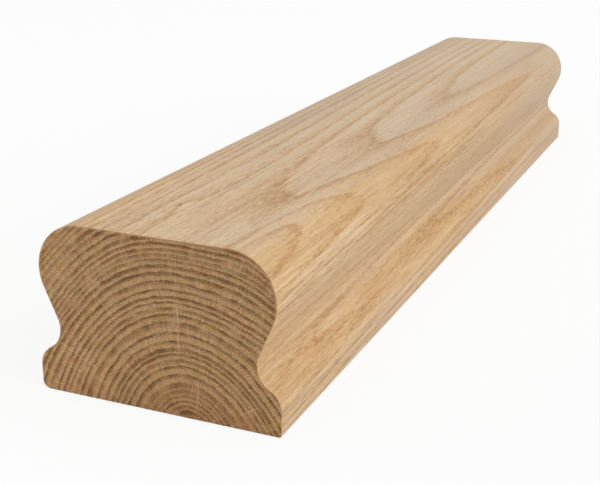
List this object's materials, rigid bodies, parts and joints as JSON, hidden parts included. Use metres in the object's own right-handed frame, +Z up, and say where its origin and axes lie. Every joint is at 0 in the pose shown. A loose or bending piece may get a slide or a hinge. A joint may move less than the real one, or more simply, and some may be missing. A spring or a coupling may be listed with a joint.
{
  "type": "wooden handrail",
  "caption": "Straight length of solid wooden handrail with a broad rounded grip, a finger cove down each side and a flat foot, sawn square at both ends.",
  "frame": {"origin": "middle of the flat underside, half way along the rail", "axes": "+X across the rail, +Y along its length, +Z up out of the flat grip"},
  "size_m": [0.065, 0.32, 0.044],
  "materials": {
    "oak": "planed and sanded, clear satin"
  },
  "bodies": {
    "root": {"handrail": "oak"}
  },
  "joints": []
}
